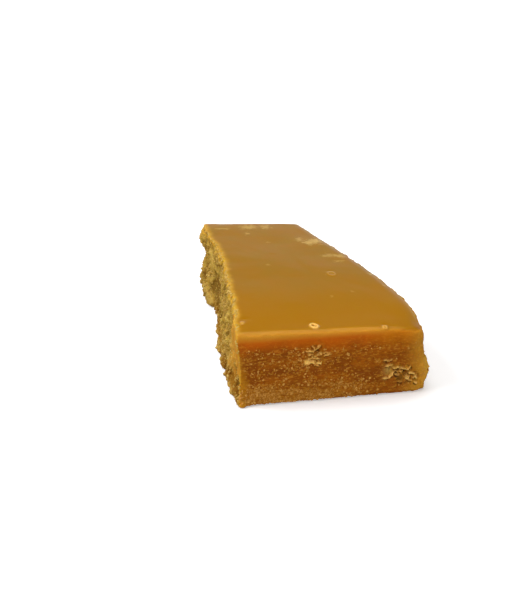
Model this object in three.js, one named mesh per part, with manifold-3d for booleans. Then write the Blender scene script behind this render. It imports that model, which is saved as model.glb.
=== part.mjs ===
// Jaggery block: half of a poured slab of unrefined cane sugar, snapped off by hand and lying flat.
// Millimetres, +Z up. +X runs right along the front face, +Y runs back along the break.
// The origin is on the resting face, under the middle of the block.
import * as THREE from "three";
import { ImprovedNoise } from "three/addons/math/ImprovedNoise.js";
import { mergeVertices } from "three/addons/utils/BufferGeometryUtils.js";
import Module from "manifold-3d";

// Driving dimensions. Until the last step, x is measured from the front left corner of the top
// and y from the front face.
const blockLength = 128; // front face to back face, down the broken side
const frontWidth = 63.5;
const backWidth = 49;
const backSkew = 1.8; // the back face runs this much forward by its right end
const thickness = 26; // at the broken left edge
const crossFall = { front: 1.7, back: 1.4 }; // the poured top is this much lower at the right edge
const cornerSlump = 1.4; // and sinks this much more at the front right corner
const slumpReach = 9;

// Plan corner reach: how far back from the sharp corner its rounding starts. The front right corner is
// sharper at its foot than at the slumped top.
const topCorners = { frontRight: 7, backRight: 3.5, backLeft: 3, frontLeft: 1.2 };
const footCorners = { ...topCorners, frontRight: 4.6 };

// The two long sides in plan, as x and y at a few stations. The right side, run from the front to the
// back, took the mould's curved wall. The break, run from the back to the front, is dished in the
// middle of the block, and its foot stands out past its top edge.
const mouldSide = [[65, 22], [63.6, 44], [59.4, 70], [54.4, 96]];
const breakTop = [[-0.3, blockLength], [0.1, 106], [1.9, 92], [4, 72], [3.2, 45], [1.5, 20], [0, 0]];
const breakFoot = [[-3, blockLength], [-3.2, 108], [-0.5, 76], [-2.7, 28], [-0.3, 0]];
const mouldFlare = 0.5; // how far the mould's side leans out to its foot

// Edge rounding where the top and the resting face meet each side.
const topEdge = { front: 1.8, right: 3.6, back: 2, left: 0.7 };
const footEdge = { front: 0.7, right: 1, back: 0.9, left: 0.6 };

// Height of the relief on each side: the break is crumbly, the others took the mould.
const cragHeight = { front: 0.22, right: 0.55, back: 0.45, left: 1.35 };
const cragSize = 7; // across one crag
const flankBulge = { front: 2.7, back: 2.2 }; // the right side swells below its middle
const bulgeHeight = 6; // above the resting face
const bulgeReach = { y: 24, z: 4.9 };
const reliefAtFoot = 0.5; // share of the relief left where the block meets its resting face
const reliefFullBy = 2.6; // height by which the whole relief is there
const reliefLostOnTop = 0.6; // share that is gone once an edge has turned into the top
const topRipple = 0.22; // slow waves in the poured top
const rippleSize = 26;

// Local forms of the break: y, z, their reach along y and z, and how far they stand out (or sink in).
const breakForms = [
  { y: 118, z: 22.5, reachY: 6, reachZ: 3, out: 3.8 }, // spur under the back corner
  { y: 112, z: 12.5, reachY: 11, reachZ: 4.2, out: -4.4 }, // hollow under the spur
  { y: 80, z: 13, reachY: 13, reachZ: 5.5, out: -2 }, // long hollow halfway along
  { y: 58, z: 19, reachY: 7, reachZ: 3, out: 0.9 }, // ledge
  { y: 33, z: 9, reachY: 8, reachZ: 4, out: 0.8 }, // swelling of the foot
  { y: 11, z: 7, reachY: 3, reachZ: 3.6, out: -1.6 }, // bite near the front corner
];

// Patches where flakes came away from the front face: x, z, reach along x and z, depth.
const frontChips = [
  { x: 24.5, z: 16.5, reachX: 5, reachZ: 4.2, depth: 0.8 },
  { x: 53.5, z: 9, reachX: 6.5, reachZ: 4.6, depth: 1.1 },
];
const flakeSize = 2.6; // across one flake left standing in a patch
const flakeSink = 0.5; // share of a patch's depth by which it lies below the face around it

// Burst bubbles in the poured top: x, y, width, depth.
const pitRoundness = 4; // subdivisions of a pit's ball
const bubblePits = [
  { x: 25.4, y: 5.6, width: 3.2, depth: 0.9 },
  { x: 4.2, y: 11.5, width: 1.8, depth: 0.6 },
  { x: 48.2, y: 3, width: 2, depth: 0.6 },
  { x: 44, y: 53.5, width: 2.2, depth: 0.4 },
];

// How finely the outline is divided, in the order it is run, and how many rings go up the sides,
// round an edge and over the top.
const outlineSteps = {
  front: 38, frontRight: 7, right: 50, backRight: 3, back: 20, backLeft: 4, left: 80, frontLeft: 2,
};
const sideRings = 10;
const edgeRings = 3;
const topScales = [0.975, 0.92, 0.82, 0.66, 0.46, 0.24]; // each ring's size against the top's rim
const ringCentre = { x: 28.5, y: blockLength / 2 };
const restingPad = { halfX: 12, halfY: 30 }; // plain rectangle in the middle of the resting face

const perlin = new ImprovedNoise();
const noisePlace = { crags: 11.7, flakes: 2.9, ripple: 4.3 }; // where in the noise each relief is taken

// Noise of three octaves, about -1 to 1, whose largest lumps are "size" across.
function lumps(x, y, z, size, place) {
  let sum = 0;
  for (let octave = 0, height = 1; octave < 3; octave++, height /= 2) {
    const k = 2 ** octave / size;
    sum += height * perlin.noise(x * k + place, y * k + 2 * place, z * k + 3 * place);
  }
  return sum;
}

// A smooth hill, 1 in the middle and close to 0 beyond 2 reaches away.
const hill = (distance, reach) => Math.exp(-((distance / reach) ** 2));

// Plan outline of the resting face or of the top, anticlockwise from the front left corner.
// Both are cut into the same stretches, so their points match one to one.
function planOutline(breakStations, widen, reach) {
  const left = breakStations.map(([x, y]) => new THREE.Vector2(x, y));
  const [backLeft, frontLeft] = [left[0], left[left.length - 1]];
  const frontRight = new THREE.Vector2(frontWidth + widen, 0);
  const backRight = new THREE.Vector2(backWidth + widen, blockLength - backSkew);
  const onBack = (from, to, distance) => from.clone().lerp(to, distance / from.distanceTo(to));
  const backStart = onBack(backRight, backLeft, reach.backRight);
  const backEnd = onBack(backLeft, backRight, reach.backLeft);
  const cornerStart = new THREE.Vector2(backRight.x, backRight.y - reach.backRight);
  left[0] = onBack(backLeft, left[1], reach.backLeft);
  left[left.length - 1] = onBack(frontLeft, left[left.length - 2], reach.frontLeft);

  const path = new THREE.Path();
  path.moveTo(frontLeft.x + reach.frontLeft, 0);
  path.lineTo(frontRight.x - reach.frontRight, 0);
  path.quadraticCurveTo(frontRight.x, frontRight.y, frontRight.x, reach.frontRight);
  path.splineThru([...mouldSide.map(([x, y]) => new THREE.Vector2(x + widen, y)), cornerStart]);
  path.quadraticCurveTo(backRight.x, backRight.y, backStart.x, backStart.y);
  path.lineTo(backEnd.x, backEnd.y);
  path.quadraticCurveTo(backLeft.x, backLeft.y, left[0].x, left[0].y);
  path.splineThru(left.slice(1));
  path.quadraticCurveTo(frontLeft.x, frontLeft.y, frontLeft.x + reach.frontLeft, 0);

  const steps = Object.values(outlineSteps);
  return path.curves.flatMap((curve, i) => curve.getSpacedPoints(steps[i]).slice(0, -1));
}

// Outward direction in plan at each point of a closed outline.
function outwardNormals(outline) {
  return outline.map((_, i) => {
    const ahead = outline[(i + 1) % outline.length];
    const behind = outline[(i + outline.length - 1) % outline.length];
    return new THREE.Vector2(ahead.y - behind.y, behind.x - ahead.x).normalize();
  });
}

// Mixes the four sides' values by the way the surface faces; the weights always add up to 1.
function bySide(values, normal) {
  const acrossX = normal.x > 0 ? values.right : values.left;
  const acrossY = normal.y > 0 ? values.back : values.front;
  return acrossX * normal.x ** 2 + acrossY * normal.y ** 2;
}

// Height of the poured top.
function topHeight(x, y) {
  const fall = THREE.MathUtils.lerp(crossFall.front, crossFall.back, y / blockLength) * (x / frontWidth);
  const slump = cornerSlump * hill(Math.hypot(x - frontWidth, y), slumpReach);
  return thickness - fall - slump + topRipple * lumps(x, y, 0, rippleSize, noisePlace.ripple);
}

// How far a side stands out of its plain lean at a point, along its plan normal.
function sideRelief(x, y, z, normal) {
  const leftness = normal.x < 0 ? normal.x ** 2 : 0;
  const rightness = normal.x > 0 ? normal.x ** 2 : 0;
  const frontness = normal.y < 0 ? normal.y ** 2 : 0;

  const crags = bySide(cragHeight, normal) * lumps(x, y, z, cragSize, noisePlace.crags);
  const swell = THREE.MathUtils.lerp(flankBulge.back, flankBulge.front, hill(y, bulgeReach.y));
  const bulge = rightness * swell * hill(z - bulgeHeight, bulgeReach.z);
  const forms = breakForms.reduce(
    (sum, form) => sum + form.out * hill(y - form.y, form.reachY) * hill(z - form.z, form.reachZ), 0);
  const chips = frontChips.reduce((sum, chip) => {
    const inside = hill(x - chip.x, chip.reachX) * hill(z - chip.z, chip.reachZ);
    const flakes = lumps(x, y, z, flakeSize, noisePlace.flakes);
    return sum + inside * chip.depth * (flakes - flakeSink);
  }, 0);
  return crags + bulge + leftness * forms + frontness * chips;
}

// The ring of points at one step up the sides. rise runs from 0 at the foot to 1 under the top edge's
// rounding; turnFoot and turnTop (0 to 1) are how far round the foot's or the top's edge the ring lies.
function sideRing({ foot, top, normals }, rise, turnFoot, turnTop) {
  return foot.map((footPoint, i) => {
    const normal = normals[i];
    const [footRadius, topRadius] = [bySide(footEdge, normal), bySide(topEdge, normal)];
    const height = topHeight(top[i].x, top[i].y);
    const straight = height - footRadius - topRadius;
    const footAngle = (turnFoot * Math.PI) / 2;
    const topAngle = (turnTop * Math.PI) / 2;
    const z = footRadius * (1 - Math.sin(footAngle)) + rise * straight + topRadius * Math.sin(topAngle);
    const plan = footPoint.clone().lerp(top[i], z / height);
    const reliefShare = THREE.MathUtils.lerp(reliefAtFoot, 1, Math.min(1, z / reliefFullBy));
    const kept = 1 - reliefLostOnTop * turnTop;
    const out = reliefShare * kept * sideRelief(plan.x, plan.y, z, normal)
      - footRadius * (1 - Math.cos(footAngle)) - topRadius * (1 - Math.cos(topAngle));
    plan.addScaledVector(normal, out);
    return new THREE.Vector3(plan.x, plan.y, z);
  });
}

// All rings of the shell, from the edge of the resting face to the innermost ring of the top.
function shellRings() {
  const foot = planOutline(breakFoot, mouldFlare, footCorners);
  const top = planOutline(breakTop, 0, topCorners);
  const outline = { foot, top, normals: outwardNormals(top) };

  const rings = [];
  for (let k = edgeRings; k > 0; k--) rings.push(sideRing(outline, 0, k / edgeRings, 0));
  for (let k = 0; k <= sideRings; k++) rings.push(sideRing(outline, k / sideRings, 0, 0));
  for (let k = 1; k <= edgeRings; k++) rings.push(sideRing(outline, 1, 0, k / edgeRings));

  const rim = rings[rings.length - 1];
  const centre = new THREE.Vector3(ringCentre.x, ringCentre.y, 0);
  for (const scale of topScales) {
    rings.push(rim.map((point) => {
      const inner = centre.clone().lerp(point, scale);
      inner.z = topHeight(inner.x, inner.y);
      return inner;
    }));
  }
  return rings;
}

const inPlan = (ring) => ring.map(({ x, y }) => new THREE.Vector2(x, y));

// Closed mesh of the block: the shell between the rings, the top's middle and the resting face.
function blockGeometry() {
  const rings = shellRings();
  const around = rings[0].length;
  const vertices = rings.flat();
  const faces = [];
  for (let ring = 0; ring < rings.length - 1; ring++) {
    for (let i = 0; i < around; i++) {
      const a = ring * around + i;
      const b = ring * around + ((i + 1) % around);
      const [up, across] = [a + around, b + around];
      if ((ring + i) % 2) faces.push([a, b, across], [a, across, up]);
      else faces.push([a, b, up], [b, across, up]);
    }
  }

  const last = (rings.length - 1) * around;
  THREE.ShapeUtils.triangulateShape(inPlan(rings[rings.length - 1]), [])
    .forEach((face) => faces.push(face.map((i) => last + i)));

  const { halfX, halfY } = restingPad;
  const pad = [[-halfX, -halfY], [-halfX, halfY], [halfX, halfY], [halfX, -halfY]]
    .map(([x, y]) => new THREE.Vector2(ringCentre.x + x, ringCentre.y + y));
  const padStart = vertices.length;
  vertices.push(...pad.map(({ x, y }) => new THREE.Vector3(x, y, 0)));
  const padIndex = (i) => (i < around ? i : padStart + i - around);
  THREE.ShapeUtils.triangulateShape(inPlan(rings[0]), [pad])
    .forEach(([a, b, c]) => faces.push([padIndex(a), padIndex(c), padIndex(b)]));
  faces.push([padStart, padStart + 1, padStart + 2], [padStart, padStart + 2, padStart + 3]);

  const geometry = new THREE.BufferGeometry().setFromPoints(vertices);
  geometry.setIndex(faces.flat());
  return geometry;
}

// A dished cutter, wide enough at the surface to leave a pit of the stated width and depth.
function pitCutter({ x, y, width, depth }) {
  const radius = (width * width) / (8 * depth) + depth / 2;
  const ball = new THREE.IcosahedronGeometry(radius, pitRoundness);
  ball.translate(x, y, topHeight(x, y) - depth + radius);
  return ball;
}

const wasm = await Module();
wasm.setup();

// A closed geometry as a manifold-3d solid.
function toSolid(geometry) {
  const bare = new THREE.BufferGeometry().setAttribute("position", geometry.getAttribute("position"));
  bare.setIndex(geometry.index);
  const merged = mergeVertices(bare, 1e-4);
  return new wasm.Manifold(new wasm.Mesh({
    numProp: 3,
    vertProperties: new Float32Array(merged.attributes.position.array),
    triVerts: new Uint32Array(merged.index.array),
  }));
}

// A manifold-3d solid as a geometry.
function toGeometry(solid) {
  const { vertProperties, triVerts } = solid.getMesh();
  const geometry = new THREE.BufferGeometry();
  geometry.setAttribute("position", new THREE.BufferAttribute(vertProperties, 3));
  geometry.setIndex(new THREE.BufferAttribute(triVerts, 1));
  geometry.computeVertexNormals();
  return geometry;
}

const pitted = bubblePits.reduce(
  (solid, pit) => solid.subtract(toSolid(pitCutter(pit))), toSolid(blockGeometry()));
const geometry = toGeometry(pitted);
geometry.computeBoundingBox();
const middle = geometry.boundingBox.getCenter(new THREE.Vector3());

const jaggery = new THREE.MeshStandardMaterial({ color: "#a8772b", roughness: 0.55, metalness: 0 });
const block = new THREE.Mesh(geometry, jaggery);
block.name = "jaggery_block";
block.position.set(-middle.x, -middle.y, 0);

const part = new THREE.Group();
part.name = "jaggery";
part.add(block);

export default part;
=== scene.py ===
# Jaggery block: half of a poured slab of unrefined cane sugar, snapped off by hand and lying flat.
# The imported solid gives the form. This script adds the fine surface, the sugar grains and the looks.
import math

import bmesh
import bpy
import numpy as np
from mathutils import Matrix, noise


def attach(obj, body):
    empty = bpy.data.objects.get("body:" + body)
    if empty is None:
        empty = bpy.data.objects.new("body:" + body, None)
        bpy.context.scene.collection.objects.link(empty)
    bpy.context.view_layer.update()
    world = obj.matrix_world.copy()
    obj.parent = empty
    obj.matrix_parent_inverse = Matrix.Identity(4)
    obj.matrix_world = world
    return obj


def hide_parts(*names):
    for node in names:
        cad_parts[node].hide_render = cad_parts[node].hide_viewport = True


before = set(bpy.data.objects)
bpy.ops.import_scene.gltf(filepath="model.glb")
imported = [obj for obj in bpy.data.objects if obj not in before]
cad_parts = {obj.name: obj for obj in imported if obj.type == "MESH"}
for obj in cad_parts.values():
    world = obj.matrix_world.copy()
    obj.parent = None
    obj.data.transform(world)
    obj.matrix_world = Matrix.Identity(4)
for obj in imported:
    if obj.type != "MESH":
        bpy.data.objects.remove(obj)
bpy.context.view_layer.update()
blockNode = "jaggery_block"
mmToM = 0.001


# 0 up to low and 1 from high on; with low above high it runs the other way.
def smoothStep(low, high, value):
    share = np.clip((value - low) / (high - low), 0, 1)
    return share * share * (3 - 2 * share)


def hill(distance, reach):  # 1 in the middle, close to 0 beyond two reaches
    return np.exp(-((distance / reach) ** 2))


# A hill over two of the axes, 0 for x, 1 for y and 2 for z.
def hillAround(points, axes, spot, reach):
    first, second = axes
    return hill(points[:, first] - spot[0], reach[0]) * hill(points[:, second] - spot[1], reach[1])


# Smooth noise, about -1 to 1, with lumps of a size in mm; three sizes stretch it along x, y and z.
def lumps(points, size, octaves=1, place=0.0):
    scaled = (points / np.array(size) + place).tolist()
    return np.array([noise.fractal(p, 1.0, 2.0, octaves, noise_basis="PERLIN_NEW") for p in scaled])


# Rounded grains packed side by side: about 0.5 on top of a grain, down to -0.5 in the gaps between them.
def grains(points, size, place=0.0):
    scaled = (points / np.array(size) + place).tolist()
    return np.array([0.5 - noise.voronoi(p)[0][0] for p in scaled])


# Blocky crumbs: each cell of the given size stands at a height of its own, about -0.5 to 0.5.
def crumbs(points, size, place=0.0):
    scaled = (points / np.array(size) + place).tolist()
    return np.array([noise.noise(noise.voronoi(p)[1][0] * 3.7) for p in scaled])


def addObject(name, mesh):
    piece = bpy.data.objects.new(name, mesh)
    bpy.context.scene.collection.objects.link(piece)
    return piece


def applyModifiers(piece):
    graph = bpy.context.evaluated_depsgraph_get()
    made = bpy.data.meshes.new_from_object(piece.evaluated_get(graph))
    piece.modifiers.clear()
    piece.data = made


# Points, normals and edges of a mesh, in mm.
def meshArrays(mesh):
    points = np.empty(len(mesh.vertices) * 3, np.float32)
    mesh.vertices.foreach_get("co", points)
    normals = np.empty(len(mesh.vertices) * 3, np.float32)
    mesh.vertex_normals.foreach_get("vector", normals)
    edges = np.empty(len(mesh.edges) * 2, np.int32)
    mesh.edges.foreach_get("vertices", edges)
    points = points.reshape(-1, 3).astype(float) / mmToM
    return points, normals.reshape(-1, 3).astype(float), edges.reshape(-1, 2)


def setPoints(mesh, points):
    mesh.vertices.foreach_set("co", (points * mmToM).astype(np.float32).ravel())
    mesh.update()


# Averages a value over each point's neighbours, a few rounds.
def spread(values, edges, rounds, share=0.5):
    columns = values.reshape(len(values), -1).T.copy()
    count = len(values)
    degree = np.bincount(edges.ravel(), minlength=count).astype(float)
    for _ in range(rounds):
        for column in columns:
            total = np.bincount(edges[:, 0], column[edges[:, 1]], count)
            total += np.bincount(edges[:, 1], column[edges[:, 0]], count)
            column += share * (total / degree - column)
    return columns.T.reshape(values.shape)


def unit(vectors):
    return vectors / np.maximum(np.linalg.norm(vectors, axis=-1), 1e-9)[..., None]


blockMesh = {
    "voxel": 0.63,  # mm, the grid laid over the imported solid
    "facetPasses": 9,  # rounds of smoothing that take the solid's facets away
    "edgesKept": 0.85,  # how much of that the break's edges are spared
    "edgeStep": 2.0,  # mm between the stations where the break's top edge is looked up
    "topFrom": 15.0, "underTo": 1.2,  # mm, the top is above the first, the underside below the last
    "plainFromBreak": 7.0,  # mm, the top has fine faces up to here from the break
    "keptOnFlats": 0.06,  # share of the faces that stays on the plain top and underside
}

# How squarely a face looks up, down, left or to the front when it starts to be of a kind, and fully is.
facing = {"poured": (0.62, 0.9), "under": (0.6, 0.9), "broken": (0.6, 0.85), "front": (0.6, 0.85)}

# Burst bubbles in the poured top: x and y, width across the rim's crest and rim height in mm, paleness.
topPits = [
    {"at": (-7.0, -59.4), "width": 2.4, "rim": 0.5, "pale": 1.0},
    {"at": (-28.9, -55.5), "width": 0.7, "rim": 0.3, "pale": 0.4},
    {"at": (15.9, -62.6), "width": 1.1, "rim": 0.35, "pale": 0.5},
    {"at": (11.5, -13.4), "width": 2.6, "rim": 0.15, "pale": 0.2},
]

# Dry sugar on the poured top: x and y in mm, reach along them, paleness.
dustyPatches = [
    ((12.2, 29.0), (2.4, 3.8), 0.75),
    ((16.0, 30.5), (3.2, 4.2), 0.8),
    ((9.0, 33.5), (2.0, 3.0), 0.5),
    ((21.2, 8.2), (2.6, 2.6), 0.65),
    ((17.0, 9.4), (3.4, 2.2), 0.4),
    ((19.0, 1.6), (2.4, 1.4), 0.45),
    ((-13.8, 44.4), (1.4, 1.6), 0.5),
    ((-24.6, 52.6), (3.8, 1.3), 0.6),
    ((-11.4, 55.0), (4.4, 3.6), 0.6),
    ((-3.0, 55.0), (2.8, 3.6), 0.55),
    ((11.5, -11.2), (1.6, 0.9), 0.5),
    ((5.5, -35.9), (0.9, 0.8), 0.35),
    ((14.1, -32.3), (0.8, 0.8), 0.3),
    ((-11.7, -0.4), (1.0, 1.2), 0.3),
    ((-6.2, 30.4), (1.2, 1.2), 0.3),
    ((27.0, -14.7), (0.9, 1.2), 0.5),
    ((28.3, -27.1), (0.8, 1.0), 0.5),
]

# Where flakes came away from the front: x and z, reach along them and roughness in mm, slant, and how deep
# the gaps under the crusts are and how dark their painted shade is.
tornFront = [
    {"at": (-7.2, 17.0), "reach": (5.0, 5.2), "slant": 0.0, "rough": 0.22, "gaps": 0.5},
    {"at": (23.0, 7.8), "reach": (7.4, 4.2), "slant": -0.45, "rough": 0.5, "gaps": 1.0},
]


def patchShare(points, patch):
    alongX = points[:, 0] - patch["at"][0]
    alongZ = points[:, 2] - patch["at"][1] - patch["slant"] * alongX
    return hill(alongX, patch["reach"][0]) * hill(alongZ, patch["reach"][1])


def griddedBlock():
    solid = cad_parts[blockNode]
    piece = addObject("jaggery", solid.data.copy())
    work = bmesh.new()
    work.from_mesh(piece.data)
    bmesh.ops.remove_doubles(work, verts=work.verts, dist=0.01 * mmToM)
    work.to_mesh(piece.data)
    work.free()
    piece.data.materials.clear()
    grid = piece.modifiers.new("evenGrid", "REMESH")
    grid.mode = "VOXEL"
    grid.voxel_size = blockMesh["voxel"] * mmToM
    applyModifiers(piece)
    return piece


# Where the break's top edge runs: its x for any y, from the flat of the poured top.
def breakEdgeFinder(points, normals):
    step = blockMesh["edgeStep"]
    onTop = points[(normals[:, 2] > 0.97) & (points[:, 2] > blockMesh["topFrom"])]
    stations = np.arange(onTop[:, 1].min(), onTop[:, 1].max(), step)
    edge = [onTop[abs(onTop[:, 1] - y) < step][:, 0].min() for y in stations]
    return lambda y: np.interp(y, stations, edge)


# How much of each kind of surface a point has: poured top, underside, break, moulded side, front.
def surfaceKinds(points, normals, edges, breakEdge):
    soft = spread(normals, edges, 3)
    softer = spread(normals, edges, 30)
    across = unit(softer[:, :2])
    x, y, z = points.T
    inside = smoothStep(-0.9, -0.2, x - breakEdge(y))
    poured = smoothStep(*facing["poured"], soft[:, 2]) * (z > blockMesh["topFrom"]) * inside
    under = smoothStep(*facing["under"], -soft[:, 2]) * (z < blockMesh["underTo"])
    side = np.clip(1 - poured - under, 0, 1)
    broken = side * smoothStep(*facing["broken"], -across[:, 0])
    return {
        "poured": poured, "under": under, "broken": broken, "moulded": side - broken,
        "front": side * smoothStep(*facing["front"], -across[:, 1]),
    }


def smoothFacets(piece):
    points, normals, edges = meshArrays(piece.data)
    breakEdge = breakEdgeFinder(points, normals)
    kinds = surfaceKinds(points, normals, edges, breakEdge)
    # the break's own edges and the foot stay crisp
    rimWide = spread(kinds["broken"], edges, 6) * spread(kinds["poured"] + kinds["front"], edges, 6)
    share = (1 - blockMesh["edgesKept"] * np.clip(rimWide * 5, 0, 1)) * smoothStep(0, 2, points[:, 2])
    share = share[:, None]
    for _ in range(blockMesh["facetPasses"]):
        points += share * (spread(points, edges, 1) - points)
    points[:, 2] = np.maximum(points[:, 2], 0)
    setPoints(piece.data, points)
    return breakEdge


# True on the top where a pit or a patch of dry sugar is, within the given margin in mm.
def topDetail(points, margin):
    x, y, z = points.T
    found = np.zeros(len(points), bool)
    for pit in topPits:
        found |= np.hypot(x - pit["at"][0], y - pit["at"][1]) < pit["width"] + margin
    for spot, reach, _ in dustyPatches:
        alongX = (x - spot[0]) / (1.3 * reach[0] + margin)
        alongY = (y - spot[1]) / (1.3 * reach[1] + margin)
        found |= np.hypot(alongX, alongY) < 1
    return found & (z > blockMesh["topFrom"])


# True where the top or the underside is plain, away from pits, patches, margins and edges.
def plainFlats(points, kinds, edges, breakEdge):
    farFromBreak = points[:, 0] - breakEdge(points[:, 1]) > blockMesh["plainFromBreak"]
    top = (spread(kinds["poured"], edges, 4) > 0.98) & farFromBreak
    return (top & ~topDetail(points, 1.2)) | (spread(kinds["under"], edges, 4) > 0.98)


def thinFlats(piece, breakEdge):
    points, normals, edges = meshArrays(piece.data)
    kinds = surfaceKinds(points, normals, edges, breakEdge)
    plain = plainFlats(points, kinds, edges, breakEdge)
    group = piece.vertex_groups.new(name="plain")
    group.add(np.flatnonzero(plain).tolist(), 1.0, "REPLACE")
    thin = piece.modifiers.new("thinFlats", "DECIMATE")
    thin.vertex_group = group.name
    thin.ratio = 1 - plain.mean() * (1 - blockMesh["keptOnFlats"])
    applyModifiers(piece)
    piece.vertex_groups.clear()


# Splits the faces where the test says that fine detail shows.
def refine(piece, breakEdge, detailAt):
    points, normals, edges = meshArrays(piece.data)
    wanted = detailAt(points, surfaceKinds(points, normals, edges, breakEdge))
    work = bmesh.new()
    work.from_mesh(piece.data)
    work.verts.ensure_lookup_table()
    split = [e for e in work.edges if wanted[e.verts[0].index] and wanted[e.verts[1].index]]
    bmesh.ops.subdivide_edges(work, edges=split, cuts=1, use_grid_fill=True)
    bmesh.ops.triangulate(work, faces=[f for f in work.faces if len(f.verts) > 4])
    work.to_mesh(piece.data)
    work.free()


def grainAndPits(points, kinds):
    return (kinds["broken"] > 0.15) | (kinds["front"] > 0.3) | topDetail(points, 0.6)


def tornPatches(points, kinds):
    wanted = np.zeros(len(points), bool)
    for patch in tornFront:
        wanted |= (kinds["front"] > 0.3) & (patchShare(points, patch) > 0.35)
    return wanted


block = griddedBlock()
print("grid over the solid:", len(block.data.polygons), "faces")
breakEdge = smoothFacets(block)
thinFlats(block, breakEdge)
refine(block, breakEdge, grainAndPits)
refine(block, breakEdge, tornPatches)
triangleCount = sum(len(face.vertices) - 2 for face in block.data.polygons)
print("flats thinned, detail refined:", triangleCount, "triangles")


breakRelief = {  # the fracture: crumbly, with clumps, gaps and torn pits; sizes and heights in mm
    "clumpSize": (6.0, 8.0, 5.0), "clumpHeight": 1.0,
    "crumbSize": (2.6, 3.4, 2.4), "crumbHeight": 0.85,
    "crumbShare": ([0, 30], [1.0, 0.85]),  # where y is the one, the crumbs are as strong as the other
    "smallCrumbSize": 1.25, "smallCrumbHeight": 0.28,
    "smallCrumbShare": ([-20, 15], [2.1, 0.8]),
    "grainSize": 0.9, "grainHeight": 0.16,
    "pitSize": 3.6, "pitDepth": 0.7, "pitsFrom": 0.25,
    "nibbleSize": 2.2, "nibbleDepth": 0.25,
    "footOut": 0.4, "footReach": 3.0,
    "sunk": 0.2,  # the whole break lies this much deeper, so that its crumbs end at the solid's face
}

# Zones of the break, in mm: each fades in from its first number to its second.
breakZones = {
    "pale": (3.8, 0.8),  # below the top
    # the golden part near the front gets a painted glow, and its relief is calmer
    "golden": (22.0, 14.0), "goldenHeight": (4.0, 11.0),  # from the front, and above the floor
    "calmHeight": (12.0, 18.0),  # the golden part is smoother up here
    "wrapped": (6.0, 2.0), "wrappedHeight": (8.0, 14.0),  # the front's skin reaches round the corner
    "footTop": ([-50, -25], [17, 7]),  # where y is the one, the dark foot goes as high as the other
    "footShare": ([12, 26], [1.0, 0.3]),  # and how strong it is there
}

# Deeper places on the break: y and z, reach along them and depth in mm, how dark the painted shade in them
# is, or how pale. Those with a depth below zero stand out, and the one that stands out most is a crust at
# the foot.
breakHollows = [
    {"at": (21.0, 8.2), "reach": (11.0, 5.2), "depth": 0.9, "dark": 0.5},
    {"at": (3.0, 5.0), "reach": (13.0, 4.2), "depth": 0.5, "dark": 0.75},
    {"at": (-59.0, 7.6), "reach": (3.8, 3.4), "depth": 1.3, "dark": 0.9},
    {"at": (-34.0, 10.5), "reach": (6.0, 3.0), "depth": 0.4, "dark": 0.3},
    {"at": (50.5, 3.0), "reach": (5.0, 4.5), "depth": 0.9},
    {"at": (56.0, 18.0), "reach": (6.0, 7.0), "depth": -0.8},
    {"at": (32.0, 1.4), "reach": (13.0, 3.2), "depth": -2.2, "dark": 0.5},
    {"at": (-54.0, 1.0), "reach": (9.0, 3.0), "depth": -0.7},
    {"at": (34.0, 17.0), "reach": (7.0, 5.0), "depth": -0.3, "pale": 0.6},
]

mouldRelief = {  # faces that took the mould: a smooth skin on top, sugary grain below
    "grainSize": 0.95, "grainHeight": 0.1,
    "strataSize": (5.0, 5.0, 1.0), "strataHeight": 0.14,
    "lumpSize": 3.4, "lumpHeight": 0.07,
    "sideLumpSize": 3.2, "sideLumpHeight": 0.5,  # the hidden sides and the right corner are rougher
    "sideCrumbSize": (2.2, 2.6, 1.8), "sideCrumbHeight": 0.5,
    "skinStart": 1.4, "skinEnd": 9.5,  # below the top: the smooth skin fades into grain between these
    "holeSize": 1.9, "holeDepth": 0.3,
    "rightCornerFrom": 21.0, "rightCornerTo": 33.0, "rightCornerReach": 15.0,  # the front right corner is rougher, and its paler colour is a painted glow
}

pouredRelief = {"waveSize": 9.0, "waveHeight": 0.03, "pitRimReach": 0.32, "pitFilm": 0.4}

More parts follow.
